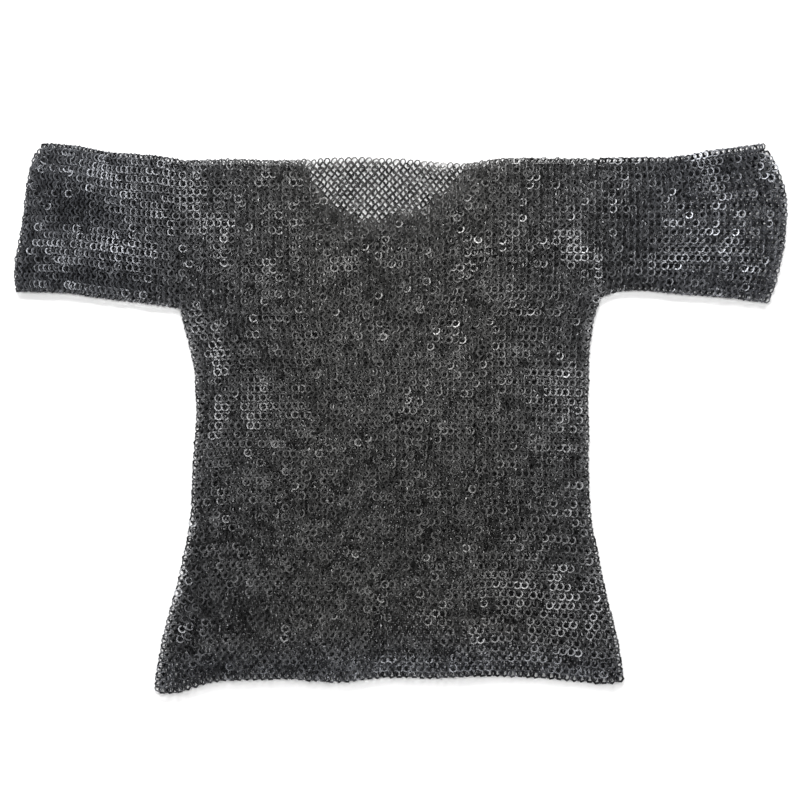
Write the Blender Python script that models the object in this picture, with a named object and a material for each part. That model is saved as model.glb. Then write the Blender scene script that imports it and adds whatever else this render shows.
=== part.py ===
"""A haubergeon: a short-sleeved mail shirt of linked steel rings, laid flat on its back.

The real shirt is one fabric of small round rings, each linked through four neighbours. Here each
piece that an armourer weaves and then joins is a wall as thick as that weave: the back and the
front of the body, and two sleeves, which are flattened tubes open at the cuff and the armhole.
The front lies on the back, its sides and shoulders roll over to meet it, and its neck is cut lower.
Lengths are metres. +X is the wearer's left, +Y points to the neck, +Z up from the floor.
"""

import math
from collections import namedtuple

import bmesh
import bpy

MM = 0.001

# The ring, and the thickness of the weave: leaning rings, one wire thicker than their lean.
RING_BORE = 9.5 * MM
WIRE = 1.6 * MM
RING_LEAN = math.radians(22)
RING_RADIUS = (RING_BORE + WIRE) / 2
WALL = 2 * RING_RADIUS * math.sin(RING_LEAN) + WIRE

# How the pieces lie on and beside each other.
SEAM = 0.3 * MM
FRONT_UNDERSIDE = WALL + SEAM
MIDDLE = WALL + SEAM / 2
ROLL = WALL - SEAM
RAW_EDGE = 2 * MM

# Where the sleeves join the body.
ARMHOLE_LEFT = -328
ARMHOLE_RIGHT = 299

# The sides of the body between the armpits and the hem, a row for each section. Millimetres.
BodySection = namedtuple("BodySection", "y left right")
BODY = [
    BodySection(y=150, left=-325, right=287),
    BodySection(y=110, left=-314, right=281),
    BodySection(y=66, left=-305, right=280),
    BodySection(y=-6, left=-304, right=280),
    BodySection(y=-78, left=-310, right=279),
    BodySection(y=-150, left=-313, right=284),
    BodySection(y=-222, left=-326, right=298),
    BodySection(y=-276, left=-340, right=310),
    BodySection(y=-330, left=-355, right=323),
]
ARMPIT_LEFT = 166
ARMPIT_RIGHT = 183

# Edges that run across the shirt, a row for each point. Millimetres.
Edge = namedtuple("Edge", "x y")
HEM = [
    Edge(x=-366, y=-409),
    Edge(x=-336, y=-411),
    Edge(x=-290, y=-397),
    Edge(x=-193, y=-391),
    Edge(x=-97, y=-395),
    Edge(x=-25, y=-388),
    Edge(x=60, y=-389),
    Edge(x=150, y=-386),
    Edge(x=240, y=-391),
    Edge(x=310, y=-398),
    Edge(x=334, y=-393),
]
SHOULDER_LEFT = [
    Edge(x=ARMHOLE_LEFT, y=385),
    Edge(x=-235, y=386),
    Edge(x=-145, y=386),
]
SHOULDER_RIGHT = [
    Edge(x=104, y=380),
    Edge(x=150, y=388),
    Edge(x=220, y=388),
    Edge(x=ARMHOLE_RIGHT, y=388),
]
NECK_FRONT = [
    Edge(x=-145, y=386),
    Edge(x=-130, y=354),
    Edge(x=-111, y=331),
    Edge(x=-83, y=309),
    Edge(x=-55, y=299),
    Edge(x=-28, y=300),
    Edge(x=0, y=309),
    Edge(x=31, y=313),
    Edge(x=55, y=333),
    Edge(x=78, y=356),
    Edge(x=104, y=380),
]
NECK_BACK = [
    Edge(x=-145, y=386),
    Edge(x=-76, y=391),
    Edge(x=0, y=388),
    Edge(x=50, y=384),
    Edge(x=104, y=380),
]

# The sleeves: upper and lower edge from the armhole out to the cuff, then the cuff upwards.
SLEEVE_LEFT_TOP = [
    Edge(x=ARMHOLE_LEFT, y=385),
    Edge(x=-362, y=390),
    Edge(x=-433, y=396),
    Edge(x=-481, y=406),
    Edge(x=-535, y=409),
]
SLEEVE_LEFT_UNDER = [
    Edge(x=ARMHOLE_LEFT, y=ARMPIT_LEFT),
    Edge(x=-361, y=170),
    Edge(x=-409, y=177),
    Edge(x=-505, y=188),
    Edge(x=-577, y=190),
]
CUFF_LEFT = [
    Edge(x=-577, y=190),
    Edge(x=-580, y=222),
    Edge(x=-572, y=264),
    Edge(x=-565, y=310),
    Edge(x=-559, y=366),
    Edge(x=-550, y=392),
    Edge(x=-535, y=409),
]
SLEEVE_RIGHT_TOP = [
    Edge(x=ARMHOLE_RIGHT, y=388),
    Edge(x=359, y=389),
    Edge(x=407, y=390),
    Edge(x=455, y=398),
    Edge(x=544, y=410),
]
SLEEVE_RIGHT_UNDER = [
    Edge(x=ARMHOLE_RIGHT, y=ARMPIT_RIGHT),
    Edge(x=335, y=191),
    Edge(x=407, y=188),
    Edge(x=480, y=181),
    Edge(x=550, y=173),
]
CUFF_RIGHT = [
    Edge(x=550, y=173),
    Edge(x=566, y=207),
    Edge(x=578, y=264),
    Edge(x=580, y=314),
    Edge(x=570, y=366),
    Edge(x=544, y=410),
]

# Soft folds raised in the upper layer. Heading is degrees from +X, the rest millimetres.
Fold = namedtuple("Fold", "x y heading length width height")
FOLDS = [
    Fold(x=-455, y=236, heading=2, length=230, width=34, height=5.0),
    Fold(x=-440, y=330, heading=-4, length=170, width=44, height=3.0),
    Fold(x=-282, y=132, heading=-42, length=150, width=30, height=5.0),
    Fold(x=-262, y=8, heading=88, length=200, width=34, height=4.0),
    Fold(x=-255, y=265, heading=70, length=110, width=30, height=3.5),
    Fold(x=-205, y=-262, heading=52, length=190, width=40, height=4.5),
    Fold(x=-20, y=215, heading=-35, length=140, width=34, height=4.0),
    Fold(x=25, y=-300, heading=-28, length=200, width=36, height=4.0),
    Fold(x=60, y=20, heading=15, length=220, width=44, height=2.5),
    Fold(x=215, y=-285, heading=-18, length=180, width=60, height=4.0),
    Fold(x=245, y=255, heading=-60, length=130, width=36, height=4.0),
    Fold(x=335, y=218, heading=-8, length=130, width=28, height=4.5),
    Fold(x=425, y=262, heading=-12, length=160, width=44, height=4.0),
]
FOLD_FADE = 30 * MM

# How finely the walls are divided.
COLUMNS_SHOULDER = 9
COLUMNS_NECK = 12
ROWS_SKIRT = 24
ROWS_YOKE = 11
SLEEVE_STATIONS = 15
SLEEVE_COLUMNS = 11
FINE_INSETS = (0.0, 0.9 * MM, 2.6 * MM, 6.6 * MM)
ROLLED_COLUMNS = len(FINE_INSETS) - 1
HOLLOW_END = 0.5 * MM

# Oxidised steel.
STEEL_COLOUR = (0.055, 0.057, 0.060, 1.0)
STEEL_ROUGHNESS = 0.42


def clear_scene():
    for thing in list(bpy.data.objects):
        bpy.data.objects.remove(thing, do_unlink=True)


def dark_steel(name):
    material = bpy.data.materials.new(name)
    material.use_nodes = True
    shader = material.node_tree.nodes["Principled BSDF"]
    shader.inputs["Base Color"].default_value = STEEL_COLOUR
    shader.inputs["Roughness"].default_value = STEEL_ROUGHNESS
    shader.inputs["Metallic"].default_value = 1.0
    return material


def smooth_line(table, steps=12):
    """Points in metres on a smooth line through a table of edge points in millimetres."""
    points = [(row.x * MM, row.y * MM) for row in table]
    points = [points[0]] + points + [points[-1]]
    line = []
    for before, start, end, after in zip(points, points[1:], points[2:], points[3:]):
        for step in range(steps):
            t = step / steps
            line.append(tuple(
                start[k]
                + t * (end[k] - before[k]) / 2
                + t * t * (before[k] - 2.5 * start[k] + 2 * end[k] - after[k] / 2)
                + t**3 * (1.5 * (start[k] - end[k]) + (after[k] - before[k]) / 2)
                for k in (0, 1)
            ))
    line.append(points[-1])
    return line


def at(line, share):
    """The point at this share of a line's length."""
    lengths = [math.dist(a, b) for a, b in zip(line, line[1:])]
    left = share * sum(lengths)
    for a, b, length in zip(line, line[1:], lengths):
        if left <= length and length > 0:
            t = left / length
            return (a[0] + t * (b[0] - a[0]), a[1] + t * (b[1] - a[1]))
        left -= length
    return line[-1]


def shares(count, length, fine_start=False, fine_end=False):
    """Shares of a length from 0 to 1: even steps, with finer ones at the ends that roll over."""
    fine = [inset / length for inset in FINE_INSETS]
    low = fine if fine_start else [0.0]
    high = [1 - share for share in reversed(fine)] if fine_end else [1.0]
    inner = [low[-1] + (high[0] - low[-1]) * k / count for k in range(1, count)]
    return low + inner + high


def patch(bottom, top, left, right, across, up):
    """A grid of plan points between four edge lines, blended so that it meets all four."""
    grid = []
    for j, v in enumerate(up):
        row = []
        for i, u in enumerate(across):
            row.append(tuple(
                (1 - v) * bottom[i][k] + v * top[i][k] + (1 - u) * left[j][k] + u * right[j][k]
                - (1 - u) * (1 - v) * bottom[0][k] - u * (1 - v) * bottom[-1][k]
                - (1 - u) * v * top[0][k] - u * v * top[-1][k]
                for k in (0, 1)
            ))
        grid.append(row)
    return grid


def fold_height(x, y, inset):
    """How far the folds lift the upper layer here. They fade out towards an edge that rolls over."""
    height = 0.0
    for fold in FOLDS:
        angle = math.radians(fold.heading)
        dx, dy = x - fold.x * MM, y - fold.y * MM
        along = (dx * math.cos(angle) + dy * math.sin(angle)) / (fold.length * MM / 2)
        beside = (dy * math.cos(angle) - dx * math.sin(angle)) / (fold.width * MM / 2)
        height += fold.height * MM * math.exp(-(along**4) - beside**2)
    fade = min(1.0, inset / FOLD_FADE)
    return height * fade * fade * (3 - 2 * fade)


def edge_drop(inset, radius):
    """How far a rounded edge of this radius lies below the full height, this far in from the edge."""
    if inset >= radius:
        return 0.0
    return radius - math.sqrt(radius**2 - (radius - inset) ** 2)


def add_solid(name, points, faces, material):
    mesh = bpy.data.meshes.new(name)
    mesh.from_pydata(points, [], faces)
    shape = bmesh.new()
    shape.from_mesh(mesh)
    bmesh.ops.remove_doubles(shape, verts=shape.verts, dist=0.00001)
    if shape.calc_volume(signed=True) < 0:
        bmesh.ops.reverse_faces(shape, faces=shape.faces)
    shape.to_mesh(mesh)
    shape.free()
    mesh.shade_smooth()
    mesh.set_sharp_from_angle(angle=math.radians(40))
    solid = bpy.data.objects.new(name, mesh)
    mesh.materials.append(material)
    bpy.context.scene.collection.objects.link(solid)
    return solid


def wall(name, grid, top_height, under_height, material):
    """A closed wall on a grid of plan points: its upper skin, its underside and its edge."""
    rows, columns = len(grid), len(grid[0])
    count = rows * columns
    points = []
    for height in (top_height, under_height):
        for j, row in enumerate(grid):
            points += [(x, y, height(i, j, x, y)) for i, (x, y) in enumerate(row)]
    faces = []
    for j in range(rows - 1):
        for i in range(columns - 1):
            a = j * columns + i
            b, c, d = a + 1, a + columns + 1, a + columns
            faces.append((a, b, c, d))
            faces.append((d + count, c + count, b + count, a + count))
    rim = list(range(columns))
    rim += [j * columns + columns - 1 for j in range(1, rows)]
    rim += [(rows - 1) * columns + i for i in range(columns - 2, -1, -1)]
    rim += [j * columns for j in range(rows - 2, 0, -1)]
    for a, b in zip(rim, rim[1:] + rim[:1]):
        faces.append((b, a, a + count, b + count))
    return add_solid(name, points, faces, material)


def body_edges(neck, across_parts, up_parts):
    """The four edge lines of a body panel, read at the grid's shares."""
    skirt, yoke = up_parts
    sides = []
    for side, armpit, armhole, shoulder in (
        ("left", ARMPIT_LEFT, ARMHOLE_LEFT + SEAM / MM / 2, SHOULDER_LEFT[0].y),
        ("right", ARMPIT_RIGHT, ARMHOLE_RIGHT - SEAM / MM / 2, SHOULDER_RIGHT[-1].y),
    ):
        corner = HEM[0] if side == "left" else HEM[-1]
        table = [Edge(corner.x, corner.y)]
        table += [Edge(getattr(row, side), row.y) for row in reversed(BODY)]
        table.append(Edge(armhole, armpit))
        side_line = smooth_line(table)
        seam_line = [(armhole * MM, armpit * MM), (armhole * MM, shoulder * MM)]
        points = [at(side_line, share) for share in skirt]
        points += [at(seam_line, share) for share in yoke[1:]]
        sides.append(points)
    left_part, neck_part, right_part = across_parts
    top = [at(smooth_line(SHOULDER_LEFT), share) for share in left_part]
    top += [at(smooth_line(neck), share) for share in neck_part[1:]]
    top += [at(smooth_line(SHOULDER_RIGHT), share) for share in right_part[1:]]
    top[0] = sides[0][-1]
    top[-1] = sides[1][-1]
    return top, sides[0], sides[1]


def body_panel(name, neck, underside, folded_skin, material):
    """The front or the back. folded_skin names the skin that rolls over at the sides and shoulders."""
    width = (ARMHOLE_RIGHT - ARMHOLE_LEFT) * MM
    neck_left, neck_right = SHOULDER_LEFT[-1].x, SHOULDER_RIGHT[0].x
    left_width = (neck_left - ARMHOLE_LEFT) * MM
    right_width = (ARMHOLE_RIGHT - neck_right) * MM
    neck_width = (neck_right - neck_left) * MM
    skirt_height = (ARMPIT_LEFT - HEM[0].y) * MM
    yoke_height = (SHOULDER_LEFT[0].y - ARMPIT_LEFT) * MM

    left_part = shares(COLUMNS_SHOULDER, left_width, fine_start=True)
    neck_part = shares(COLUMNS_NECK, neck_width)
    right_part = shares(COLUMNS_SHOULDER, right_width, fine_end=True)
    skirt = shares(ROWS_SKIRT, skirt_height, fine_start=True)
    yoke = shares(ROWS_YOKE, yoke_height, fine_end=True)

    across = [share * left_width / width for share in left_part]
    across += [(left_width + share * neck_width) / width for share in neck_part[1:]]
    across += [(left_width + neck_width + share * right_width) / width for share in right_part[1:]]
    height = skirt_height + yoke_height
    up = [share * skirt_height / height for share in skirt]
    up += [(skirt_height + share * yoke_height) / height for share in yoke[1:]]

    top, left, right = body_edges(neck, (left_part, neck_part, right_part), (skirt, yoke))
    hem_line = smooth_line(HEM)
    bottom = [at(hem_line, share) for share in across]
    grid = patch(bottom, top, left, right, across, up)
    neck_columns = range(len(left_part), len(left_part) + len(neck_part) - 2)
    last = len(up) - 1
    armpit_row = len(skirt) - 1

    def insets(i, j):
        """Distances in from the hem, from the nearer side and from the top edge."""
        x, y = grid[j][i]
        side = min(x - grid[j][0][0], grid[j][-1][0] - x)
        return y - grid[0][i][1], side, grid[last][i][1] - y

    def rolled_drop(i, j):
        _, side, head = insets(i, j)
        drop = 0.0 if j > armpit_row else edge_drop(side, ROLL)
        if i not in neck_columns:
            drop = max(drop, edge_drop(head, ROLL))
        return drop

    def raw_drop(i, j):
        hem, _, head = insets(i, j)
        drop = edge_drop(hem, RAW_EDGE)
        if i in neck_columns:
            drop = max(drop, edge_drop(head, RAW_EDGE))
        return drop

    def lift(i, j, x, y):
        if folded_skin == "under":
            return 0.0
        _, side, head = insets(i, j)
        edge = head if j > armpit_row else min(side, head)
        return fold_height(x, y, max(edge, 0.0))

    def top_height(i, j, x, y):
        drop = raw_drop(i, j)
        if folded_skin == "top":
            drop = max(drop, rolled_drop(i, j))
        return underside + WALL - drop + lift(i, j, x, y)

    def under_height(i, j, x, y):
        drop = rolled_drop(i, j) if folded_skin == "under" else 0.0
        return underside + drop + lift(i, j, x, y)

    return wall(name, grid, top_height, under_height, material)


def sleeve(name, top_table, under_table, cuff_table, material):
    """A flattened tube from the cuff to the armhole, its two layers joined at the upper and lower fold."""
    side = math.copysign(1, cuff_table[0].x)
    armhole = top_table[0].x + side * SEAM / MM / 2
    top_line = smooth_line([Edge(armhole, top_table[0].y)] + top_table[1:])
    under_line = smooth_line([Edge(armhole, under_table[0].y)] + under_table[1:])
    cuff_line = smooth_line(cuff_table)
    length = math.dist(top_line[0], top_line[-1])
    width = math.dist(top_line[0], under_line[0])
    along = shares(SLEEVE_STATIONS, length, fine_end=True)
    up = shares(SLEEVE_COLUMNS, width, fine_start=True, fine_end=True)
    bottom = [at(under_line, share) for share in along]
    top = [at(top_line, share) for share in along]
    seam = [(armhole * MM, under_line[0][1] + share * width) for share in up]
    cuff = [at(cuff_line, share) for share in up]
    grid = patch(bottom, top, seam, cuff, along, up)

    outer, inner = [], []
    last = len(up) - 1
    for i in range(len(along)):
        column = [grid[j][i] for j in range(len(up))]
        cuff_inset = math.dist(grid[last // 2][i], grid[last // 2][-1])
        insets = [min(y - column[0][1], column[-1][1] - y) for x, y in column]
        above, below, above_in, below_in = [], [], [], []
        for (x, y), inset in zip(column, insets):
            half = MIDDLE - edge_drop(inset, MIDDLE)
            lift = fold_height(x, y, inset)
            raw = min(edge_drop(cuff_inset, RAW_EDGE), half / 2)
            above.append((x, y, MIDDLE + half - raw + lift))
            below.append((x, y, MIDDLE - half))
        for (x, y), inset in list(zip(column, insets))[ROLLED_COLUMNS:-ROLLED_COLUMNS]:
            lift = fold_height(x, y, inset)
            above_in.append((x, y, MIDDLE + SEAM / 2 + lift))
            below_in.append((x, y, MIDDLE - SEAM / 2))
        low_end = (above_in[0][0], above_in[0][1] - HOLLOW_END, MIDDLE)
        high_end = (above_in[-1][0], above_in[-1][1] + HOLLOW_END, MIDDLE)
        outer.append([(*column[0], MIDDLE)] + above[1:-1] + [(*column[-1], MIDDLE)] + below[-2:0:-1])
        inner.append([low_end] + above_in + [high_end] + below_in[::-1])

    upper_count = len(above_in)
    match = []
    for k in range(len(outer[0])):
        if k <= last:
            step = min(max(k - ROLLED_COLUMNS + 1, 0), upper_count + 1)
        else:
            step = upper_count + 1 + min(max(k - last - ROLLED_COLUMNS + 1, 0), upper_count + 1)
        match.append(step % (2 * upper_count + 2))

    points, faces = [], []
    for ring in outer + inner:
        points += ring
    around, around_in = len(outer[0]), len(inner[0])
    first_in = around * len(outer)
    for i in range(len(along) - 1):
        for k in range(around):
            a, b = i * around + k, i * around + (k + 1) % around
            faces.append((a, b, b + around, a + around))
        for k in range(around_in):
            a = first_in + i * around_in + k
            b = first_in + i * around_in + (k + 1) % around_in
            faces.append((a, a + around_in, b + around_in, b))
    for i in (0, len(along) - 1):
        for k in range(around):
            a, b = i * around + k, i * around + (k + 1) % around
            c = first_in + i * around_in + match[(k + 1) % around]
            d = first_in + i * around_in + match[k]
            face = (b, a, d, c) if c != d else (b, a, d)
            faces.append(face if i == 0 else face[::-1])
    return add_solid(name, points, faces, material)


def centre_on_floor(solids):
    """Puts the middle of the whole shirt's plan over the origin."""
    corners = [vertex.co for solid in solids for vertex in solid.data.vertices]
    shift_x = -(min(c.x for c in corners) + max(c.x for c in corners)) / 2
    shift_y = -(min(c.y for c in corners) + max(c.y for c in corners)) / 2
    for solid in solids:
        for vertex in solid.data.vertices:
            vertex.co.x += shift_x
            vertex.co.y += shift_y


def main():
    clear_scene()
    solids = [
        body_panel("back", NECK_BACK, 0.0, "under", dark_steel("back_mail")),
        body_panel("front", NECK_FRONT, FRONT_UNDERSIDE, "top", dark_steel("front_mail")),
        sleeve("sleeve_right", SLEEVE_LEFT_TOP, SLEEVE_LEFT_UNDER, CUFF_LEFT, dark_steel("right_mail")),
        sleeve("sleeve_left", SLEEVE_RIGHT_TOP, SLEEVE_RIGHT_UNDER, CUFF_RIGHT, dark_steel("left_mail")),
    ]
    centre_on_floor(solids)


main()
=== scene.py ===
import math

import bpy
import numpy as np
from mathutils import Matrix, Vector
from mathutils.bvhtree import BVHTree


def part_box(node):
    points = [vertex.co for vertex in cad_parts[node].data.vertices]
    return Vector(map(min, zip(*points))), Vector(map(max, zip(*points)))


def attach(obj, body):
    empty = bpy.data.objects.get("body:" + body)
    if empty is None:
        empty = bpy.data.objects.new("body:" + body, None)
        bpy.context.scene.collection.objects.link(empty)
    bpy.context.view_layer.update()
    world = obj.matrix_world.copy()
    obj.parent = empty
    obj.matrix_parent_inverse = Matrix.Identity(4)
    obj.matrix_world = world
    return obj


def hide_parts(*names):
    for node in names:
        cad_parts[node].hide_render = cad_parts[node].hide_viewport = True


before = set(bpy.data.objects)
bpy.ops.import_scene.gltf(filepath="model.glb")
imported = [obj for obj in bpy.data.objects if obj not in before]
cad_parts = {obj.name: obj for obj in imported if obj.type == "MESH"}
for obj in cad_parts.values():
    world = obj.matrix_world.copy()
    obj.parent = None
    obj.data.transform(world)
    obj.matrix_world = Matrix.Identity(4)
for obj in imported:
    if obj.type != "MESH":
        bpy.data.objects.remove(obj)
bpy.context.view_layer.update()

# A haubergeon of oil-blackened steel rings, laid flat on its back.
# Every ring is real geometry, linked through its four neighbours as in European four-in-one mail.

MM = 0.001

# The ring: 16 gauge wire with its faces hammered nearly flat, 3/8 inch bore, butted shut. It is drawn in
# this many steps, and faces that meet at less than this angle are shaded smooth.
WIRE = 1.6 * MM
BAND_WIDTH = 1.9 * MM
BAND_THICKNESS = 1.1 * MM
RING_BORE = 9.5 * MM
RING_RADIUS = (RING_BORE + WIRE) / 2
RING_REACH = RING_RADIUS + WIRE / 2
BUTT_GAP = 0.25 * MM
SHOWN_STEPS = 8
SMOOTH_BELOW = math.radians(60)

# The lower layers' rings hardly show: a plain three-sided band, wide enough to close the view through.
HIDDEN_WIDTH = 3.4 * MM
HIDDEN_THICKNESS = 1.0 * MM
HIDDEN_STEPS = 6

# The weave. Rings in a row lean one way, rings in the next row lean the other way. The lower layers' rings
# lean and tip by this much, and each wall is as thick as a ring of round wire with that lean is high.
LEAN = math.radians(22)
TIP = math.radians(5.0)
WALL = 2 * RING_RADIUS * math.sin(LEAN) + WIRE
SEAM = 0.3 * MM
FRONT_UNDERSIDE = WALL + SEAM
MIDDLE = WALL + SEAM / 2

# Where a layer rolls over into the one below it: the roll's radius, a quarter turn of it, and how much
# less fabric than plan there is for each roll.
ROLL_RADIUS = (WALL + SEAM) / 2
ROLL_QUARTER = ROLL_RADIUS * math.pi / 2
ROLL_TAKES = WALL / 2 + ROLL_RADIUS - ROLL_QUARTER

# Rings across the body, rows from the hem to the shoulder, and rings along each sleeve.
RINGS_ACROSS = 61
ROWS = 118
RINGS_ALONG = {"sleeve_right": 31, "sleeve_left": 27}

# The body is woven in stretches, so that each has fewer than 200,000 triangles. A stretch of the front is
# its name, its first row and the row after its last, and the back is split at one row.
FRONT_STRETCHES = (("front_skirt", 0, 40), ("front_waist", 40, 80), ("front_chest", 80, ROWS))
BACK_SPLIT = 59

# The rows lie open in the skirt and crowded in the yoke, and change over between these two rows. The top
# row lies half a pitch down from the middle of the shoulder fold.
SKIRT_PITCH = 7.1 * MM
YOKE_PITCH = 6.1 * MM
CROWDED_FROM, CROWDED_BY = 60, 84
TOP_ROW_DEPTH = YOKE_PITCH / 2

# Where the first ring of a row lies, in rings, how far the back has slipped towards the hem, in rows,
# and how much the rings of each sleeve crowd together towards its cuff.
FIRST_RING = 0.25
BACK_SLIP = 0.25
SLEEVE_CROWDING = {"sleeve_right": 0.12, "sleeve_left": 0.0}

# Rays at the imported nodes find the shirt's edges and folds. They start far to the side or above, and
# meet open edges at this share of a wall's height and a sleeve's edges this far under the seam between
# its layers. An edge ends where it runs steeper than this. The armpit is read this far out in a sleeve.
FAR, ABOVE = 2.0, 1.0
EDGE_STEP, FOLD_STEP = 2 * MM, 5 * MM
RAY_SHARE = 0.6
UNDER_SEAM = 0.1 * MM
STEEPEST_EDGE, STEEPEST_NECKLINE = 1.5, 8
ARMPIT_ASIDE = 2 * MM

# The neck is where the front's edge lies this much lower than the back's, no further out than this.
NECK_DEPTH, NECK_SEARCH = 8 * MM, 200 * MM

# Rings are placed in a few passes, each nearer, from a first guess at the width or the sleeve's length.
# The fabric's directions are felt for this far to each side, in rings and rows.
PASSES = 4
GUESSED_WIDTH, GUESSED_SLEEVE = 600 * MM, 250 * MM
ASIDE = 0.1

# How the upper layers' rings lie, in the skirt and in the yoke: how steeply they stand and how far they
# tip. Those that lie flatter ride higher on their neighbours, and those that are combed tip further.
SKIRT_STAND, YOKE_STAND = math.radians(29), math.radians(34)
SKIRT_TIP, YOKE_TIP = math.radians(-9.5), math.radians(-8.0)
FLATTEST, STEEPEST = math.radians(12.5), math.radians(54)
FLAT_RIDES = 0.8 * MM
COMBED_TIPS = 0.1

# In patches they lean by more or less. Each patch is x, y, heading, its reach along and across the
# heading, in mm and degrees, and how many degrees it adds.
# Where the mail has been combed to one side, one kind of row lies flatter and the other stands steeper.
# The patch adds more than 0 where the rows with their left side up lie flat.
COMBED = (
    (-385, 352, -3, 90, 36, 30),
    (-450, 253, -3, 120, 24, 25),
    (-345, 300, -20, 60, 22, 17),
    (-440, 188, -5, 60, 8, 24),
    (-245, 310, 0, 60, 45, 8),
    (-150, 260, 0, 50, 60, 10),
    (-226, 45, 86, 130, 48, 16),
    (-148, 35, 90, 40, 18, 14),
    (-173, -333, 90, 26, 8, 20),
    (-325, -330, 90, 40, 10, 16),
    (157, 265, 0, 50, 18, -16),
    (262, 250, -40, 36, 22, -26),
    (430, 243, 8, 75, 20, -24),
    (472, 340, -60, 50, 25, -15),
    (142, 140, 90, 45, 18, -15),
    (227, 40, 90, 70, 32, -13),
    (200, -330, -12, 155, 125, -16),
    (14, -366, 0, 60, 16, -20),
)

# Where it is bunched up, and both kinds of row stand steeper: the dark creases.
BUNCHED = (
    (-470, 206, -5, 130, 7, 13),
    (-495, 315, 0, 42, 26, 12),
    (-565, 270, 90, 80, 16, 8),
    (-245, 135, -48, 100, 15, 17),
    (352, 297, 80, 45, 30, 12),
    (558, 290, 90, 90, 22, 12),
    (320, 211, -8, 60, 11, 14),
    (-10, 235, 0, 60, 40, 7),
    (-210, -175, 0, 50, 50, 4),
    (60, -145, 90, 60, 40, 4),
    (-230, -300, 60, 55, 40, 9),
    (0, -325, 0, 40, 20, 9),
    (-346, -372, 90, 30, 14, 8),
)

# The finer rumpling everywhere: its two sizes, how far it turns the rings, and how much of it bunches
# them. The rows also drift off their lines by this much, over about this distance.
BROAD, FINE = 75 * MM, 30 * MM
SKIRT_RUMPLES, YOKE_RUMPLES = math.radians(3.8), math.radians(8.3)
BUNCHED_SHARE = 0.6
DRIFT_SIZE, DRIFT = 110 * MM, 1.3 * MM

# Soft noise adds up this many waves, with lengths in this range of the size asked for, and is divided by
# about as much as they come to.
NOISE_WAVES = 10
NOISE_LENGTHS = (0.7, 1.6)
NOISE_SUM = 4.5

# Each noise has a number of its own, and the fine rumpling's is this much higher than the broad one's.
COMBED_NOISE, TIPPED_NOISE, BUNCHED_NOISE = 1, 2, 3
FINE_NOISE = 3
DRIFT_NOISE_X, DRIFT_NOISE_Y = 7, 8

# A few rings have been knocked flat and catch the light whole.
KNOCKED_SHARE = 0.022
KNOCKED_LEAN = math.radians(12), math.radians(24)
KNOCKED_TIP = math.radians(-16), math.radians(0)

# In the neck the back shows, drawn out sideways, so that its rings stand open like a net: from this row
# up, and this far past the neck's ends. The front's rings keep their centres this clear of the neckline.
NECK_FROM_ROW = 99
NECK_MARGIN = 20 * MM
NECK_CLEARANCE = RING_RADIUS - WIRE
NECK_LEAN = math.radians(32)
NECK_TIP = math.radians(-15)

# How grey the rings are, from 0 to 1, by height on the shirt: black in the skirt, greyer over the chest
# and arms. The hidden rings are the blackest, and the neck's are blacker than the front's.
GREY_HEIGHTS = (-400 * MM, -120 * MM, 140 * MM, 400 * MM)
GREY_SHARES = (0.4, 0.45, 0.8, 0.85)
HIDDEN_GREYNESS = 0.2
NECK_GREYNESS = 0.72

# Where the oxide is blue: ever more out along the arms and down to the hem, between these limits.
BLUE_REACH = (130 * MM, 430 * MM)
BLUE_HEM = (-370 * MM, -310 * MM)

# How far single rings stray from the weave, and how much further they do in the yoke.
LEAN_STRAY = math.radians(4.8)
TIP_STRAY = math.radians(4.2)
YOKE_STRAYS = 1.35
PLACE_STRAY = 0.35 * MM
TONE_STRAY = 0.3

# The steel's colours, blackened and worn, and the tint of its oxide, plain and blue.
BLACKENED, WORN = "#343434", "#838383"
PLAIN_OXIDE, BLUE_OXIDE = "#fffefc", "#f4f7ff"

# Its sheen, from smooth to rough, and its grain and hammer marks. Both of these are drawn coarser than
# real ones, which are too fine to show.
STEEL_ROUGHNESS = (0.34, 0.5)
GRAIN_SIZE = 2.5 * MM
MARK_SIZE, MARK_DEPTH = 4 * MM, 0.5 * MM

# The stage: a matt white sweep, just under the lowest rings, and an even white backdrop.
SWEEP, SWEEP_ROUGHNESS = "#fbfbfb", 0.9
FLOOR_SIZE, FLOOR_DROP = 12, 0.2 * MM
BACKDROP, BACKDROP_STRENGTH = "#ffffff", 0.29

# Each softbox: its name, its place and size in metres, its power in watts and the point that it faces.
SOFTBOXES = (
    ("west_softbox", (-3.6, 0.0, 3.4), (1.1, 2.9), 14, (0, -0.1, 0)),
    ("east_softbox", (3.6, -0.1, 3.4), (1.1, 2.9), 14, (0, -0.1, 0)),
    ("head_softbox", (-1.1, 6.0, 3.8), (6.0, 1.3), 740, (0, -0.1, 0)),
    ("overhead_softbox", (0.0, 0.6, 2.3), (1.1, 0.7), 29, (0, 0, 0)),
)

# The photo's frame: 1.5 mm a pixel, seen straight down, a little above the shirt's middle.
MM_PER_PIXEL = 1.5
IMAGE_SIZE = 800
VIEW_MIDDLE = (-0.75 * MM, 27 * MM)
CAMERA_HEIGHT = 4.0
SENSOR = 36.0

SEED = 1453
random = np.random.default_rng(SEED)


def deselect_all():
    """Leaves no object selected, so that the next tool acts on its own object alone."""
    bpy.ops.object.select_all(action="DESELECT")


def cad_tree(name):
    """The CAD node's surface, for finding where its edges and skins lie."""
    node = bpy.data.objects[name]
    points = [vertex.co.copy() for vertex in node.data.vertices]
    faces = [tuple(face.vertices) for face in node.data.polygons]
    return BVHTree.FromPolygons(points, faces)


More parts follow.
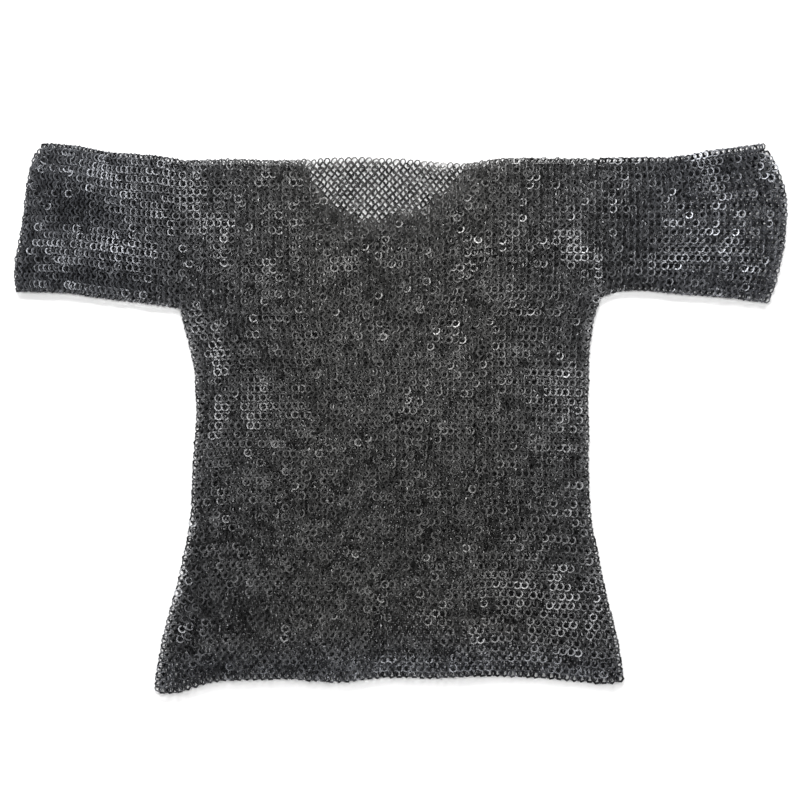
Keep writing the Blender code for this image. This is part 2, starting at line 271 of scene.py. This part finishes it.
def edge_line(tree, low, high, origin, direction, axis, steepest=STEEPEST_EDGE):
    """A function that gives an edge of a node, from its middle out to where it turns a corner."""
    found = []
    for station in np.arange(low, high, EDGE_STEP):
        hit = tree.ray_cast(Vector(origin(station)), Vector(direction))[0]
        if hit is not None:
            found.append((station, hit[axis]))

    def turns(index):
        (here, value), (there, next_value) = found[index:index + 2]
        return abs(next_value - value) > steepest * (there - here)

    first = last = len(found) // 2
    while last + 1 < len(found) and not turns(last):
        last += 1
    while first > 0 and not turns(first - 1):
        first -= 1
    stations, values = zip(*found[first:last + 1])
    return lambda station: np.interp(station, stations, values)


def side_edges(tree, low, high, height):
    """The edges met from -X and from +X, as functions of y."""
    west = edge_line(tree, low, high, lambda y: (-FAR, y, height), (1, 0, 0), 0)
    east = edge_line(tree, low, high, lambda y: (FAR, y, height), (-1, 0, 0), 0)
    return west, east


def end_edges(tree, low, high, height, steepest=STEEPEST_EDGE):
    """The edges met from -Y and from +Y, as functions of x."""
    south = edge_line(tree, low, high, lambda x: (x, -FAR, height), (0, 1, 0), 1, steepest)
    north = edge_line(tree, low, high, lambda x: (x, FAR, height), (0, -1, 0), 1, steepest)
    return south, north


def lift_field(tree, low, high):
    """A function that gives how far the folds raise a node's upper skin at x, y, from a grid of rays."""
    count_x = int((high[0] - low[0]) / FOLD_STEP) + 2
    count_y = int((high[1] - low[1]) / FOLD_STEP) + 2
    grid = np.zeros((count_x, count_y))
    for i in range(count_x):
        for j in range(count_y):
            above = Vector((low[0] + i * FOLD_STEP, low[1] + j * FOLD_STEP, ABOVE))
            hit = tree.ray_cast(above, Vector((0, 0, -1)))[0]
            if hit is not None:
                grid[i, j] = max(hit.z - FRONT_UNDERSIDE - WALL, 0.0)

    def lift(x, y):
        s = np.clip((x - low[0]) / FOLD_STEP, 0, count_x - 1)
        t = np.clip((y - low[1]) / FOLD_STEP, 0, count_y - 1)
        i = np.minimum(s.astype(int), count_x - 2)
        j = np.minimum(t.astype(int), count_y - 2)
        s, t = s - i, t - j
        near = grid[i, j] * (1 - s) + grid[i + 1, j] * s
        far = grid[i, j + 1] * (1 - s) + grid[i + 1, j + 1] * s
        return near * (1 - t) + far * t

    return lift


def rolled(distance):
    """For mail this far from the middle of a rolled edge: its inset from the edge, and its height."""
    angle = np.clip(distance, -ROLL_QUARTER, ROLL_QUARTER) / ROLL_RADIUS
    beyond = np.maximum(np.abs(distance) - ROLL_QUARTER, 0)
    inset = WALL / 2 + ROLL_RADIUS * (1 - np.cos(angle)) + beyond
    return inset, ROLL_RADIUS * np.sin(angle)


def smooth_noise(x, y, size, number):
    """Soft seeded noise, mostly from -1 to 1, with blotches of about this size."""
    source = np.random.default_rng(SEED + number)
    total = np.zeros_like(x)
    for _ in range(NOISE_WAVES):
        heading, phase = source.uniform(0, 2 * math.pi, 2)
        waves = 2 * math.pi / (size * source.uniform(*NOISE_LENGTHS))
        total += np.sin((x * math.cos(heading) + y * math.sin(heading)) * waves + phase)
    return total / NOISE_SUM


def rumpling(x, y, number):
    """The two sizes of rumple together."""
    return smooth_noise(x, y, BROAD, number) + smooth_noise(x, y, FINE, number + FINE_NOISE)


def read_edges():
    """The shirt's edges and folds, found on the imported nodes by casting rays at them."""
    edges = {}
    low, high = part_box("back")
    back, front = cad_tree("back"), cad_tree("front")
    in_back, in_front = WALL * RAY_SHARE, FRONT_UNDERSIDE + WALL * RAY_SHARE
    edges["west"], edges["east"] = side_edges(back, low[1], high[1], WALL - SEAM / 2)
    edges["hem"], edges["head"] = end_edges(back, low[0], high[0], in_back)
    edges["body_lift"] = lift_field(front, low, high)
    edges["neckline"] = end_edges(front, low[0], high[0], in_front, STEEPEST_NECKLINE)[1]
    across = np.arange(-NECK_SEARCH, NECK_SEARCH, MM)
    cut = across[edges["head"](across) - edges["neckline"](across) > NECK_DEPTH]
    edges["neck"] = (min(cut), max(cut))
    for name, outward in (("sleeve_right", -1), ("sleeve_left", 1)):
        low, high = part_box(name)
        tree = cad_tree(name)
        under, top = end_edges(tree, low[0], high[0], MIDDLE - UNDER_SEAM)
        cuffs = side_edges(tree, low[1], high[1], WALL / 2)
        seam = high[0] if outward < 0 else low[0]
        edges[name] = {
            "outward": outward,
            "seam": seam,
            "under": under,
            "top": top,
            "cuff": cuffs[0] if outward < 0 else cuffs[1],
            "armpit": float(under(seam + outward * ARMPIT_ASIDE)),
            "lift": lift_field(tree, low, high),
        }
    return edges


EDGES = read_edges()


def crowding(rows):
    """How far the rows have crowded together: 0 in the skirt, 1 in the yoke."""
    share = np.clip((rows - CROWDED_FROM) / (CROWDED_BY - CROWDED_FROM), 0, 1)
    return share * share * (3 - 2 * share)


def row_shares():
    """How far up the fabric each row lies, from 0 to 1."""
    rows = np.arange(ROWS - 1)
    steps = SKIRT_PITCH + (YOKE_PITCH - SKIRT_PITCH) * crowding(rows)
    heights = np.concatenate([[0.0], np.cumsum(steps)])
    return heights / heights[-1]


ROW_SHARES = row_shares()


def below_shoulder(row, x):
    """How far down the fabric from the middle of the shoulder fold this row lies. Rows below 0, which the
    slipped back has, run on at the first rows' pitch."""
    fabric = EDGES["head"](x) - EDGES["hem"](x) - ROLL_TAKES - RING_REACH
    share = np.interp(row, np.arange(ROWS), ROW_SHARES) + np.minimum(row, 0) * ROW_SHARES[1]
    return TOP_ROW_DEPTH + (fabric - TOP_ROW_DEPTH) * (1 - share)


def body_placer(layer, rows, rings):
    """A function that gives places on the front or back for these rows and rings, or close to them. The
    sides are rolled below the armpits, and the shoulders all along but for the back's edge in the neck."""
    def plan(row, ring, west_rolled, east_rolled):
        x = (ring / RINGS_ACROSS - 0.5) * GUESSED_WIDTH
        for _ in range(PASSES):
            inset, _ = rolled(below_shoulder(row, x))
            y = EDGES["head"](x) - inset
            west, east = EDGES["west"](y), EDGES["east"](y)
            fabric = east - west - ROLL_TAKES * west_rolled - ROLL_TAKES * east_rolled
            from_west = ring / RINGS_ACROSS * fabric
            from_east = fabric - from_west
            west_inset, west_rise = rolled(from_west)
            east_inset, east_rise = rolled(from_east)
            west_inset = np.where(west_rolled, west_inset, from_west)
            east_inset = np.where(east_rolled, east_inset, from_east)
            x = np.where(from_west < from_east, west + west_inset, east - east_inset)
        west_rise = np.where(west_rolled, west_rise, ROLL_RADIUS)
        east_rise = np.where(east_rolled, east_rise, ROLL_RADIUS)
        return x, y, west_rise + east_rise - ROLL_RADIUS

    no, yes = np.zeros_like(rows, bool), np.ones_like(rows, bool)
    x, y, _ = plan(rows, rings, yes, yes)
    west_rolled = np.where(y < EDGES["sleeve_right"]["armpit"], yes, no)
    east_rolled = np.where(y < EDGES["sleeve_left"]["armpit"], yes, no)
    neck_low, neck_high = EDGES["neck"]
    open_head = (x > neck_low) & (x < neck_high) if layer == "back" else no
    slip = BACK_SLIP if layer == "back" else 0.0

    def place(row, ring):
        row = row - slip
        x, y, side_rise = plan(row, ring, west_rolled, east_rolled)
        head_rise = rolled(below_shoulder(row, x))[1]
        rise = side_rise + np.where(open_head, ROLL_RADIUS, head_rise) - ROLL_RADIUS
        if layer == "front":
            return np.stack([x, y, MIDDLE + rise + EDGES["body_lift"](x, y)], 1)
        return np.stack([x, y, MIDDLE - rise], 1)

    return place


def sleeve_rows(name):
    """The body's first row that runs on into this sleeve, a quarter pitch clear of its lower edge."""
    sleeve = EDGES[name]
    fabric = sleeve["top"](sleeve["seam"]) - sleeve["armpit"] - 2 * ROLL_TAKES
    depths = below_shoulder(np.arange(ROWS, dtype=float), sleeve["seam"])
    return int(np.argmax(depths < fabric - YOKE_PITCH / 4))


def sleeve_placer(name, layer):
    """A function that gives places on a layer of this sleeve. Rings are counted out from the armhole."""
    sleeve = EDGES[name]
    seam, outward = sleeve["seam"], sleeve["outward"]
    outermost, gathers = RINGS_ALONG[name] - FIRST_RING, SLEEVE_CROWDING[name]
    at_seam = float(sleeve["top"](seam + outward * MM)) - sleeve["armpit"] - 2 * ROLL_TAKES
    lowest = float(below_shoulder(float(sleeve_rows(name)), seam))
    stretch = (at_seam - 2 * TOP_ROW_DEPTH) / (lowest - TOP_ROW_DEPTH)

    def place(row, ring):
        depth = TOP_ROW_DEPTH + (below_shoulder(row, seam) - TOP_ROW_DEPTH) * stretch
        share = depth / at_seam
        out = ring / outermost
        out = out + gathers * out * (1 - out)
        x = seam + outward * GUESSED_SLEEVE * out
        for _ in range(PASSES):
            fabric = sleeve["top"](x) - sleeve["under"](x) - 2 * ROLL_TAKES
            from_top, from_under = share * fabric, (1 - share) * fabric
            top_inset, top_rise = rolled(from_top)
            under_inset, under_rise = rolled(from_under)
            y = np.where(share < 0.5, sleeve["top"](x) - top_inset, sleeve["under"](x) + under_inset)
            length = np.abs(sleeve["cuff"](y) - seam) - RING_REACH
            x = seam + outward * out * length
        rise = top_rise + under_rise - ROLL_RADIUS
        if layer == "upper":
            return np.stack([x, y, MIDDLE + rise + sleeve["lift"](x, y)], 1)
        return np.stack([x, y, MIDDLE - rise], 1)

    return place


def unit(vectors):
    """The vectors, each made one long."""
    return vectors / np.linalg.norm(vectors, axis=1, keepdims=True)


def turn_rings(place, rows, rings, outward, lean, tip):
    """Centres, Euler turns and axes of the rings, leaning and tipping in the fabric's own directions. Each
    is also spun by chance, so that the butts lie anywhere."""
    centres = place(rows, rings)
    along = unit(place(rows, rings + ASIDE) - place(rows, rings - ASIDE)) * outward
    across = place(rows + ASIDE, rings) - place(rows - ASIDE, rings)
    across = unit(across - along * np.sum(across * along, axis=1, keepdims=True))
    normal = np.cross(along, across)
    side = np.where(rows % 2 == 0, 1, -1)[:, None]
    lean, tip = lean[:, None], tip[:, None]
    u = along * np.cos(lean) - side * normal * np.sin(lean)
    v = across * np.cos(tip) + normal * np.sin(tip)
    w = unit(np.cross(u, v))
    v = np.cross(w, u)
    spin = random.uniform(0, 2 * math.pi, len(rows))[:, None]
    u, v = u * np.cos(spin) + v * np.sin(spin), v * np.cos(spin) - u * np.sin(spin)
    turns = np.stack([
        np.arctan2(v[:, 2], w[:, 2]),
        -np.arcsin(np.clip(u[:, 2], -1, 1)),
        np.arctan2(u[:, 1], u[:, 0]),
    ], 1)
    return centres, turns, w


def settle(centres, axes, width, underside):
    """Raises rings with a band of this width so that none reaches below what its layer lies on."""
    level = np.abs(axes[:, 2])
    steep = np.sqrt(np.clip(1 - level ** 2, 0, 1))
    reach = (RING_RADIUS + width / 2) * steep + BAND_THICKNESS / 2 * level
    centres[:, 2] = np.maximum(centres[:, 2], underside + reach)


def half_steps(rows, layer):
    """Each row is half a ring further along than the next, and the layers are half a ring apart."""
    odd = (rows + (layer in ("back", "lower"))) % 2
    return FIRST_RING + 0.5 * odd


def patches(table, x, y):
    """The sum of a table's patches at x, y, in radians."""
    total = np.zeros_like(x)
    for middle_x, middle_y, heading, reach_along, reach_across, degrees in table:
        heading = math.radians(heading)
        off_x, off_y = x / MM - middle_x, y / MM - middle_y
        along = (off_x * math.cos(heading) + off_y * math.sin(heading)) / reach_along
        across = (off_y * math.cos(heading) - off_x * math.sin(heading)) / reach_across
        total += math.radians(degrees) * np.exp(-(along ** 2 + across ** 2))
    return total


def in_neck(rows, x):
    """Which of the back's rings show in the neck, with a margin at its ends."""
    low, high = EDGES["neck"]
    return (rows >= NECK_FROM_ROW) & (x > low - NECK_MARGIN) & (x < high + NECK_MARGIN)


def shown_turns(rows, x, y):
    """How the upper layers' rings lean and tip: by patches, by rumpling, or because knocked flat."""
    left_up = np.where(rows % 2 == 0, 1, -1)
    crowded = crowding(rows)
    stand = SKIRT_STAND + (YOKE_STAND - SKIRT_STAND) * crowded
    rumples = SKIRT_RUMPLES + (YOKE_RUMPLES - SKIRT_RUMPLES) * crowded
    by_hand = patches(COMBED, x, y)
    combed = by_hand + rumples * rumpling(x, y, COMBED_NOISE)
    bunched = patches(BUNCHED, x, y) + BUNCHED_SHARE * rumples * rumpling(x, y, BUNCHED_NOISE)
    lean = stand - left_up * combed + bunched
    tip = SKIRT_TIP + (YOKE_TIP - SKIRT_TIP) * crowded - COMBED_TIPS * np.abs(by_hand)
    tip += rumples * rumpling(x, y, TIPPED_NOISE)
    knocked = random.uniform(0, 1, len(rows)) < KNOCKED_SHARE
    lean = np.where(knocked, random.uniform(*KNOCKED_LEAN, len(rows)), lean)
    return lean, np.where(knocked, random.uniform(*KNOCKED_TIP, len(rows)), tip)


def lay_layer(place, rows, steps, outward, layer):
    """Places and turns for all the rings of a layer."""
    rows = rows.astype(float)
    x, y, _ = place(rows, steps).T
    shown = layer in ("front", "upper")
    if shown:
        lean, tip = shown_turns(rows, x, y)
        width = BAND_WIDTH
    else:
        netted = in_neck(rows, x) & (layer == "back")
        lean, tip = np.where(netted, NECK_LEAN, LEAN), np.where(netted, NECK_TIP, TIP)
        width = np.where(netted, BAND_WIDTH, HIDDEN_WIDTH)
    strays = 1 + (YOKE_STRAYS - 1) * crowding(rows)
    lean = np.clip(lean + strays * random.normal(0, LEAN_STRAY, len(rows)), FLATTEST, STEEPEST)
    tip = tip + strays * random.normal(0, TIP_STRAY, len(rows))
    centres, turns, axes = turn_rings(place, rows, steps, outward, lean, tip)
    centres[:, 0] += DRIFT * smooth_noise(x, y, DRIFT_SIZE, DRIFT_NOISE_X)
    centres[:, 1] += DRIFT * smooth_noise(x, y, DRIFT_SIZE, DRIFT_NOISE_Y)
    centres[:, :2] += random.normal(0, PLACE_STRAY, (len(rows), 2))
    if shown:
        centres[:, 2] += FLAT_RIDES * (YOKE_STAND - lean) / (YOKE_STAND - FLATTEST)
    settle(centres, axes, width, WALL / 2 if shown else 0.0)
    return centres, turns


def body_layer(layer):
    """The rows, places and turns of the front's or the back's rings."""
    row, ring = np.meshgrid(np.arange(ROWS), np.arange(RINGS_ACROSS), indexing="ij")
    row, ring = row.ravel(), ring.ravel()
    steps = ring + half_steps(row, layer)
    place = body_placer(layer, row.astype(float), steps)
    centres, turns = lay_layer(place, row, steps, 1, layer)
    if layer == "front":
        keep = clear_of_neck(centres)
        return row[keep], centres[keep], turns[keep]
    return row, centres, turns


def clear_of_neck(centres):
    """Which rings lie far enough outside the front neckline to be woven."""
    low, high = EDGES["neck"]
    line_x = np.arange(low, high, MM)
    line_y = EDGES["neckline"](line_x)
    x, y = centres[:, 0], centres[:, 1]
    away = np.min(np.hypot(x[:, None] - line_x, y[:, None] - line_y), axis=1)
    inside = (x > low) & (x < high) & (y > EDGES["neckline"](x))
    return ~inside & (away > NECK_CLEARANCE)


def sleeve_layer(name, layer):
    """The places and turns of the rings of a sleeve's upper or lower layer."""
    rows = np.arange(sleeve_rows(name), ROWS)
    row, ring = np.meshgrid(rows, np.arange(RINGS_ALONG[name]), indexing="ij")
    row, ring = row.ravel(), ring.ravel()
    half = half_steps(row, layer)
    outward = EDGES[name]["outward"]
    steps = ring + (half if outward > 0 else 1 - half)
    return lay_layer(sleeve_placer(name, layer), row, steps, outward, layer)


def wire_section(hammered):
    """The section of a ring's wire, standing at the ring's radius: a flat band or a three-sided one."""
    place, upright = (RING_RADIUS, 0, 0), (math.pi / 2, 0, 0)
    if hammered:
        bpy.ops.mesh.primitive_plane_add(size=1, location=place, rotation=upright)
        bpy.ops.transform.resize(value=(BAND_WIDTH, 1, BAND_THICKNESS))
    else:
        # A triangle with equal sides of the band's width, pressed down to its thickness.
        radius = HIDDEN_WIDTH / math.sqrt(3)
        bpy.ops.mesh.primitive_circle_add(
            vertices=3, radius=radius, fill_type="NGON", location=place, rotation=upright,
        )
        bpy.ops.transform.resize(value=(1, 1, HIDDEN_THICKNESS / (1.5 * radius)))
    return bpy.context.object


def butted_ring(name, steps, hammered):
    """One ring, spun from its wire's section by a little less than a full turn, so that its ends butt."""
    deselect_all()
    ring = wire_section(hammered)
    ring.name = name
    bpy.ops.object.transform_apply(location=True, rotation=True, scale=True)
    bpy.ops.object.mode_set(mode="EDIT")
    bpy.ops.mesh.select_all(action="SELECT")
    turn = 2 * math.pi - BUTT_GAP / RING_RADIUS
    bpy.ops.mesh.spin(steps=steps, angle=turn, center=(0, 0, 0), axis=(0, 0, 1))
    bpy.ops.mesh.select_all(action="SELECT")
    bpy.ops.mesh.normals_make_consistent(inside=False)
    bpy.ops.object.mode_set(mode="OBJECT")
    bpy.ops.object.shade_smooth_by_angle(angle=SMOOTH_BELOW)
    return ring


def add_node(tree, kind, settings=None, **links):
    """Adds a node, sets its plain values and inputs, and links the inputs that are given sockets. An
    underscore in such an input's name stands for a space."""
    node = tree.nodes.new(kind)
    for key, value in (settings or {}).items():
        if hasattr(node, key):
            setattr(node, key, value)
        else:
            node.inputs[key].default_value = value
    for key, socket in links.items():
        tree.links.new(socket, node.inputs[key.replace("_", " ")])
    return node


def ring_weaver(ring):
    """A node group that puts a ring on every point, turned as the point says, and makes them one mesh."""
    tree = bpy.data.node_groups.new("weave_" + ring.name, "GeometryNodeTree")
    tree.interface.new_socket("Geometry", in_out="INPUT", socket_type="NodeSocketGeometry")
    tree.interface.new_socket("Geometry", in_out="OUTPUT", socket_type="NodeSocketGeometry")
    points = add_node(tree, "NodeGroupInput").outputs[0]
    wire = add_node(tree, "GeometryNodeObjectInfo", {"Object": ring}).outputs["Geometry"]
    turn = add_node(tree, "GeometryNodeInputNamedAttribute", {"data_type": "FLOAT_VECTOR", "Name": "turn"})
    rotation = add_node(tree, "FunctionNodeEulerToRotation", Euler=turn.outputs["Attribute"])
    placed = add_node(
        tree, "GeometryNodeInstanceOnPoints",
        Points=points, Instance=wire, Rotation=rotation.outputs["Rotation"],
    )
    joined = add_node(tree, "GeometryNodeRealizeInstances", Geometry=placed.outputs["Instances"])
    add_node(tree, "NodeGroupOutput", Geometry=joined.outputs["Geometry"])
    return tree


def set_values(mesh, name, kind, values):
    """Gives each point of the mesh a value of its own, or a vector."""
    attribute = mesh.attributes.new(name, kind, "POINT")
    key = "vector" if kind == "FLOAT_VECTOR" else "value"
    attribute.data.foreach_set(key, values.astype(np.float32).ravel())


def ring_points(name, centres, turns, greyness):
    """A mesh with a point for each ring, which holds how it is turned, how grey it is and how blue."""
    mesh = bpy.data.meshes.new(name)
    mesh.from_pydata([tuple(centre) for centre in centres], [], [])
    # Rings are greyer from the skirt up to the chest and arms, and the hidden and neck rings are darker, on
    # top of their chance spread.
    greyed = greyness * np.interp(centres[:, 1], GREY_HEIGHTS, GREY_SHARES)
    tones = np.clip(greyed + random.normal(0, TONE_STRAY, len(centres)), 0, 1)
    along_arms = np.interp(np.abs(centres[:, 0]), BLUE_REACH, (0, 1))
    round_hem = np.interp(centres[:, 1], BLUE_HEM, (1, 0))
    set_values(mesh, "turn", "FLOAT_VECTOR", turns)
    set_values(mesh, "tone", "FLOAT", tones)
    set_values(mesh, "blue", "FLOAT", np.maximum(along_arms, round_hem))
    return mesh


def weave_piece(name, node, rings, centres, turns, material):
    """One stretch of mail: all its rings as one mesh."""
    weaver, greyness = rings
    piece = bpy.data.objects.new(name, ring_points(name, centres, turns, greyness))
    bpy.context.scene.collection.objects.link(piece)
    deselect_all()
    piece.select_set(True)
    bpy.context.view_layer.objects.active = piece
    modifier = piece.modifiers.new("weave", "NODES")
    modifier.node_group = weaver
    bpy.ops.object.modifier_apply(modifier=modifier.name)
    piece.data.materials.clear()
    piece.data.materials.append(material)
    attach(piece, "root")
    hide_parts(node)


def srgb(code):
    """The linear colour of an sRGB hex code."""
    parts = [int(code[k:k + 2], 16) / 255 for k in (1, 3, 5)]
    return tuple(p / 12.92 if p <= 0.04045 else ((p + 0.055) / 1.055) ** 2.4 for p in parts) + (1.0,)


def oil_blackened_steel():
    """Mild steel rings, hammered nearly flat and blackened hot in oil: nearly black, with a low sheen and
    shallow hammer marks. Some rings are worn greyer at random, all are greyer over the chest and arms than
    in the skirt, and the oxide is bluer on the arms and at the hem."""
    material = bpy.data.materials.new("oil_blackened_steel_rings")
    material.use_nodes = True
    tree = material.node_tree
    shader = tree.nodes["Principled BSDF"]
    shader.inputs["Metallic"].default_value = 1.0
    place = add_node(tree, "ShaderNodeTexCoord").outputs["Object"]
    tone = add_node(tree, "ShaderNodeAttribute", {"attribute_name": "tone"}).outputs["Fac"]
    greyness = add_node(tree, "ShaderNodeValToRGB", Fac=tone)
    greyness.color_ramp.elements[0].color = srgb(BLACKENED)
    greyness.color_ramp.elements[1].color = srgb(WORN)
    blue = add_node(tree, "ShaderNodeAttribute", {"attribute_name": "blue"}).outputs["Fac"]
    oxide = add_node(tree, "ShaderNodeValToRGB", Fac=blue)
    oxide.color_ramp.elements[0].color = srgb(PLAIN_OXIDE)
    oxide.color_ramp.elements[1].color = srgb(BLUE_OXIDE)
    # The Mix node has a factor and a pair of inputs for each kind of value: these are the ones for colours.
    tinted = add_node(tree, "ShaderNodeMix", {"data_type": "RGBA", "blend_type": "MULTIPLY"})
    factor, lower, upper = (tinted.inputs[index] for index in (0, 6, 7))
    factor.default_value = 1.0
    tree.links.new(greyness.outputs["Color"], lower)
    tree.links.new(oxide.outputs["Color"], upper)
    tree.links.new(tinted.outputs[2], shader.inputs["Base Color"])
    grain = add_node(tree, "ShaderNodeTexNoise", {"Scale": 1 / GRAIN_SIZE, "Detail": 3.0}, Vector=place)
    smoothest, roughest = STEEL_ROUGHNESS
    limits = {"To Min": smoothest, "To Max": roughest}
    rough = add_node(tree, "ShaderNodeMapRange", limits, Value=grain.outputs["Fac"])
    tree.links.new(rough.outputs["Result"], shader.inputs["Roughness"])
    marks = add_node(tree, "ShaderNodeTexNoise", {"Scale": 1 / MARK_SIZE, "Detail": 1.0}, Vector=place)
    depth = {"Strength": 1.0, "Distance": MARK_DEPTH}
    dented = add_node(tree, "ShaderNodeBump", depth, Height=marks.outputs["Fac"])
    tree.links.new(dented.outputs["Normal"], shader.inputs["Normal"])
    return material


def white_sweep():
    """A plain matt white floor."""
    material = bpy.data.materials.new("matt_white_sweep")
    material.use_nodes = True
    shader = material.node_tree.nodes["Principled BSDF"]
    shader.inputs["Base Color"].default_value = srgb(SWEEP)
    shader.inputs["Roughness"].default_value = SWEEP_ROUGHNESS
    deselect_all()
    bpy.ops.mesh.primitive_plane_add(size=FLOOR_SIZE, location=(0, 0, -FLOOR_DROP))
    floor = bpy.context.object
    floor.name = "floor"
    floor.data.materials.append(material)


def add_softbox(name, place, size, power, aim):
    """A rectangle of light that faces this point."""
    light = bpy.data.lights.new(name, "AREA")
    light.shape = "RECTANGLE"
    light.size, light.size_y = size
    light.energy = power
    lamp = bpy.data.objects.new(name, light)
    lamp.location = place
    lamp.rotation_euler = (Vector(aim) - Vector(place)).to_track_quat("-Z", "Y").to_euler()
    bpy.context.scene.collection.objects.link(lamp)


def add_camera():
    """A camera straight above that takes in the photo's frame at the height of the floor."""
    data = bpy.data.cameras.new("camera")
    data.sensor_width = SENSOR
    data.lens = SENSOR * CAMERA_HEIGHT / (IMAGE_SIZE * MM_PER_PIXEL * MM)
    camera = bpy.data.objects.new("camera", data)
    camera.location = (*VIEW_MIDDLE, CAMERA_HEIGHT)
    bpy.context.scene.collection.objects.link(camera)
    bpy.context.scene.camera = camera


def studio():
    """The backdrop and the softboxes."""
    world = bpy.data.worlds.new("studio")
    bpy.context.scene.world = world
    world.use_nodes = True
    backdrop = world.node_tree.nodes["Background"]
    backdrop.inputs["Color"].default_value = srgb(BACKDROP)
    backdrop.inputs["Strength"].default_value = BACKDROP_STRENGTH
    for softbox in SOFTBOXES:
        add_softbox(*softbox)
    bpy.context.scene.view_settings.view_transform = "Standard"


def weave_front(rings, steel):
    """The front, in three stretches."""
    row, centres, turns = body_layer("front")
    for name, first, last in FRONT_STRETCHES:
        part = (row >= first) & (row < last)
        weave_piece(name, "front", rings, centres[part], turns[part], steel)


def weave_back(hidden, netted, steel):
    """The back, in two stretches, and the part of it that shows in the neck."""
    row, centres, turns = body_layer("back")
    neck = in_neck(row, centres[:, 0])
    neck_rows = ROWS - NECK_FROM_ROW
    neck_rings = round(np.sum(neck) / neck_rows) + 1
    for name, part, rings, cut in (
        ("back_skirt", row < BACK_SPLIT, hidden, (RINGS_ACROSS, BACK_SPLIT)),
        ("back_yoke", (row >= BACK_SPLIT) & ~neck, hidden, (RINGS_ACROSS, ROWS - BACK_SPLIT)),
        ("back_neck", neck, netted, (neck_rings, neck_rows)),
    ):
        weave_piece(name, "back", rings, centres[part], turns[part], steel)


def weave_sleeve(name, shown, hidden, steel):
    """A sleeve's two layers."""
    cut = (RINGS_ALONG[name], ROWS - sleeve_rows(name))
    for layer, rings, under in (("upper", shown, name + "_lower"), ("lower", hidden, "floor")):
        centres, turns = sleeve_layer(name, layer)
        weave_piece(name + "_" + layer, name, rings, centres, turns, steel)


def weave_shirt():
    """Every stretch of mail, from two kinds of ring that are taken away in the end."""
    shown_ring = butted_ring("shown_ring", SHOWN_STEPS, hammered=True)
    hidden_ring = butted_ring("hidden_ring", HIDDEN_STEPS, hammered=False)
    shown, hidden = (ring_weaver(shown_ring), 1.0), (ring_weaver(hidden_ring), HIDDEN_GREYNESS)
    netted = (shown[0], NECK_GREYNESS)
    steel = oil_blackened_steel()
    weave_front(shown, steel)
    weave_back(hidden, netted, steel)
    weave_sleeve("sleeve_right", shown, hidden, steel)
    weave_sleeve("sleeve_left", shown, hidden, steel)
    for ring in (shown_ring, hidden_ring):
        bpy.data.objects.remove(ring, do_unlink=True)


add_camera()
weave_shirt()
white_sweep()
studio()
